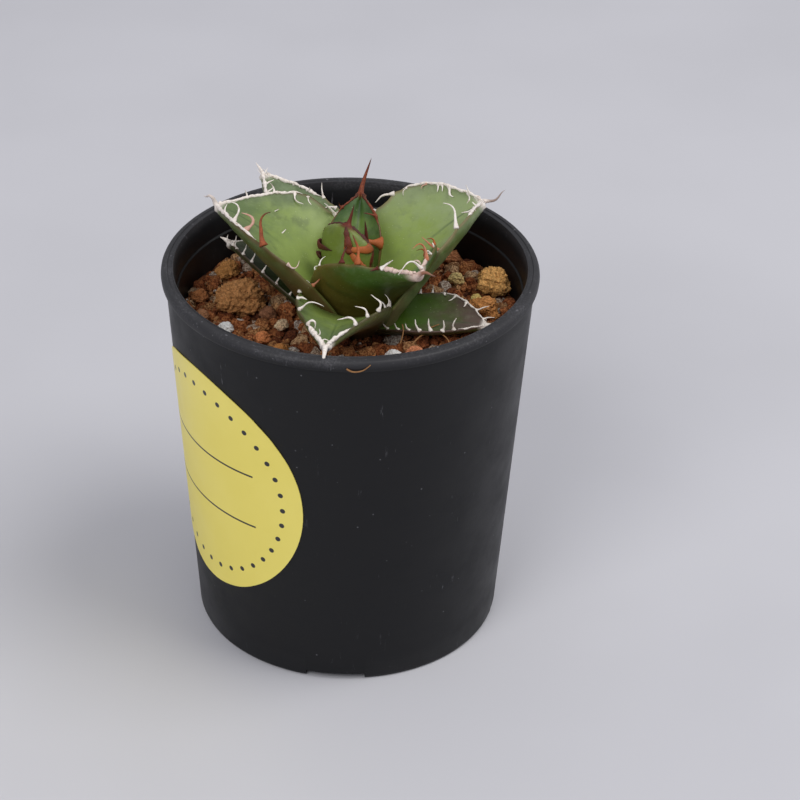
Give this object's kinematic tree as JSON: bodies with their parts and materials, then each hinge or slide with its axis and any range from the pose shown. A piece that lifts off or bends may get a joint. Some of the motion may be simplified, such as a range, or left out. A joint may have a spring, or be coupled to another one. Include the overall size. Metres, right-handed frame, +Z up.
{
  "type": "potted agave",
  "caption": "Small spiny agave rosette in gravelly soil, in a tall tapered black plastic nursery pot with a bare round yellow label.",
  "frame": {"origin": "middle of the pot's foot, on the surface that it stands on", "axes": "+Z up along the pot's axis, -Y towards the viewer of the plant's front, +X to that viewer's right"},
  "size_m": [0.075, 0.075, 0.0961],
  "materials": {
    "pot_plastic": "satin-matt black moulded plastic, lightly scuffed",
    "label_paper": "smooth coated yellow sticker, bare",
    "soil": "crumbly reddish-brown gravel",
    "stem": "pale fibrous crown",
    "leaf": "waxy green skin with a horny margin, teeth and end spine",
    "stone_brown": "rough brown grain",
    "stone_tan": "rough tan grain",
    "grain_white": "white porous grain",
    "grain_cream": "cream grain",
    "grain_orange": "orange-brown grain"
  },
  "bodies": {
    "root": {"pot": "pot_plastic", "label": "label_paper", "soil_mix": "soil", "stem": "stem", "leaf_low_left": "leaf", "leaf_low_right": "leaf", "leaf_back_left": "leaf", "leaf_front": "leaf", "leaf_back_right": "leaf", "leaf_left": "leaf", "leaf_front_right": "leaf", "leaf_back_inner": "leaf", "leaf_young": "leaf", "leaf_bud": "leaf", "stone_brown_left": "stone_brown", "stone_tan_left": "stone_tan", "stone_tan_right": "stone_tan", "stone_tan_low_right": "stone_tan", "grain_white_left": "grain_white", "grain_pale_left": "grain_cream", "grain_brown_left": "stone_brown", "grain_wall_left": "stone_tan", "grain_edge_left": "stone_brown", "grain_front_left": "stone_brown", "grain_front_outer": "stone_tan", "grain_pumice_front": "grain_white", "grain_orange_front": "grain_orange", "grain_red_front": "stone_brown", "grain_tan_front": "stone_tan", "grain_cream_right": "grain_cream", "grain_cream_small": "grain_cream", "grain_cream_edge": "grain_cream", "grain_back_right": "stone_brown", "grain_back": "stone_brown"}
  },
  "joints": []
}
